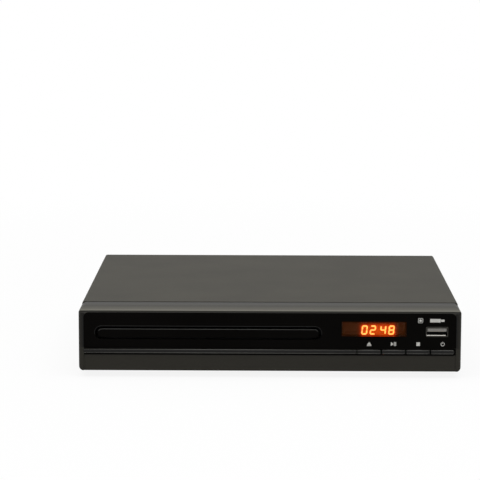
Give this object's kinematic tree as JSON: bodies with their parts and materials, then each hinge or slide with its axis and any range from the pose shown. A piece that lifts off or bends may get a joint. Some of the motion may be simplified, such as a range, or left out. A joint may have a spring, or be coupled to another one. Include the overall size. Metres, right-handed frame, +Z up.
{
  "type": "disc player",
  "caption": "Slim disc player with a motor-driven tray, glossy fascia, lit display window, a row of push buttons, a USB socket and rear connectors.",
  "frame": {"origin": "on the standing surface, under the middle of the player's overall box", "axes": "+Z up, +X to the right seen from the front, the front faces -Y"},
  "size_m": [0.225, 0.2084, 0.0416],
  "materials": {
    "grey_paint": "satin, fine texture",
    "zinc_steel": "zinc plated, satin",
    "bright_steel": "polished",
    "black_screw": "black zinc, satin",
    "foot_rubber": "matte",
    "bezel_plastic": "fine spark texture",
    "gloss_black": "piano gloss",
    "window_lens": "smoked, clear",
    "strip_plastic": "satin",
    "tray_plastic": "fine texture",
    "frame_plastic": "matte",
    "gear_plastic": "natural acetal, satin",
    "circuit_board": "solder mask, satin",
    "paper_board": "phenolic board, satin",
    "chip_black": "moulded, matte",
    "aluminium": "extruded",
    "motor_steel": "drawn can",
    "bridge_steel": "galvanised",
    "lens_glass": "clear, coated",
    "coil_tape": "tape",
    "capacitor_sleeve": "shrink sleeve",
    "jack_yellow": "moulded",
    "white_plastic": "moulded",
    "belt_rubber": "matte",
    "cable_film": "film"
  },
  "bodies": {
    "housing": {"chassis_base": "zinc_steel", "rear_panel": "zinc_steel", "top_cover": "grey_paint", "cover_screws": "black_screw", "feet": "foot_rubber", "front_bezel": "bezel_plastic", "fascia": "gloss_black", "display_window": "window_lens", "trim_strip": "strip_plastic", "usb_socket": "bright_steel", "usb_tongue": "chip_black", "front_board": "circuit_board", "tact_switches": "chip_black", "display_module": "white_plastic", "ir_receiver": "chip_black", "front_screws": "zinc_steel", "loader_frame": "frame_plastic", "loader_screws": "zinc_steel", "loading_motor": "motor_steel", "loading_belt": "belt_rubber", "clamp_bridge": "bridge_steel", "main_board": "circuit_board", "main_chips": "chip_black", "heatsink": "aluminium", "board_screws": "zinc_steel", "power_board": "paper_board", "transformer": "coil_tape", "power_parts": "capacitor_sleeve", "mains_inlet": "chip_black", "inlet_pins": "bright_steel", "hdmi_socket": "bright_steel", "hdmi_tongue": "chip_black", "scart_socket": "chip_black", "jack_block": "chip_black", "jack_barrels": "bright_steel", "jack_inserts": "jack_yellow", "front_cable": "cable_film"},
    "disc_tray": {"tray": "tray_plastic", "tray_trim": "gloss_black"},
    "open_button": {"button_open": "strip_plastic"},
    "play_button": {"button_play": "strip_plastic"},
    "stop_button": {"button_stop": "strip_plastic"},
    "standby_button": {"button_standby": "strip_plastic"},
    "motor_wheel": {"motor_pulley": "gear_plastic"},
    "pulley_wheel": {"pulley_gear": "gear_plastic"},
    "drive_wheel": {"drive_gear": "gear_plastic"},
    "cam": {"cam_slide": "gear_plastic"},
    "deck": {"deck_frame": "frame_plastic", "deck_bushes": "belt_rubber", "deck_screws": "zinc_steel", "mechanism_plate": "bridge_steel", "spindle_motor": "motor_steel", "guide_rods": "bright_steel", "sled_motor": "motor_steel"},
    "disc_drive": {"turntable": "chip_black"},
    "sled": {"pickup_sled": "frame_plastic", "objective_lens": "lens_glass"},
    "sled_screw": {"lead_screw": "bright_steel"},
    "clamp": {"clamper": "white_plastic"}
  },
  "joints": [
    {"name": "tray_slide", "type": "slide", "parent": "housing", "child": "disc_tray", "axis": [0, -1, 0], "range_m": [0, 0.138]},
    {"name": "drive_gear_turn", "type": "hinge", "parent": "housing", "child": "drive_wheel", "pos_m": [0.0028, -0.08025, 0.022], "axis": [0, 0, -1], "range_deg": [0, 879.5]},
    {"name": "pulley_gear_turn", "type": "hinge", "parent": "housing", "child": "pulley_wheel", "pos_m": [-0.014, -0.08025, 0.019], "axis": [0, 0, 1], "range_deg": [0, 2197.3]},
    {"name": "motor_pulley_turn", "type": "hinge", "parent": "housing", "child": "motor_wheel", "pos_m": [-0.0482, -0.08025, 0.018], "axis": [0, 0, 1], "range_deg": [0, 8870.8]},
    {"name": "cam_slide_move", "type": "slide", "parent": "housing", "child": "cam", "axis": [1, 0, 0], "range_m": [0, 0.016]},
    {"name": "deck_tilt", "type": "hinge", "parent": "housing", "child": "deck", "pos_m": [-0.0362, 0.03175, 0.0165], "axis": [-1, 0, 0], "range_deg": [0, 4.62]},
    {"name": "turntable_spin", "type": "hinge", "parent": "deck", "child": "disc_drive", "pos_m": [-0.0362, -0.03464, 0.01866], "axis": [0, -0.0805, 0.9968], "continuous": true},
    {"name": "clamper_spin", "type": "hinge", "parent": "housing", "child": "clamp", "pos_m": [-0.0362, -0.03425, 0.034], "axis": [0, 0, 1], "continuous": true},
    {"name": "sled_slide", "type": "slide", "parent": "deck", "child": "sled", "axis": [0, 0.9968, 0.0805], "range_m": [0, 0.035]},
    {"name": "lead_screw_turn", "type": "hinge", "parent": "deck", "child": "sled_screw", "pos_m": [-0.0082, 0.00615, 0.01052], "axis": [0, 0.9968, 0.0805], "range_deg": [0, 4201]},
    {"name": "open_press", "type": "slide", "parent": "housing", "child": "open_button", "axis": [0, 1, 0], "range_m": [0, 0.0005], "stiffness_N_per_m": 900},
    {"name": "play_press", "type": "slide", "parent": "housing", "child": "play_button", "axis": [0, 1, 0], "range_m": [0, 0.0005], "stiffness_N_per_m": 900},
    {"name": "stop_press", "type": "slide", "parent": "housing", "child": "stop_button", "axis": [0, 1, 0], "range_m": [0, 0.0005], "stiffness_N_per_m": 900},
    {"name": "standby_press", "type": "slide", "parent": "housing", "child": "standby_button", "axis": [0, 1, 0], "range_m": [0, 0.0005], "stiffness_N_per_m": 900}
  ],
  "couplings": [
    {"joint": "drive_gear_turn", "follows": "tray_slide", "rad_per_m": 111.11},
    {"joint": "pulley_gear_turn", "follows": "tray_slide", "rad_per_m": 277.78},
    {"joint": "motor_pulley_turn", "follows": "tray_slide", "rad_per_m": 1121.8},
    {"joint": "deck_tilt", "follows": "cam_slide_move", "rad_per_m": 5.0372},
    {"joint": "clamper_spin", "follows": "turntable_spin", "ratio": 1},
    {"joint": "lead_screw_turn", "follows": "sled_slide", "rad_per_m": 2094.4}
  ]
}
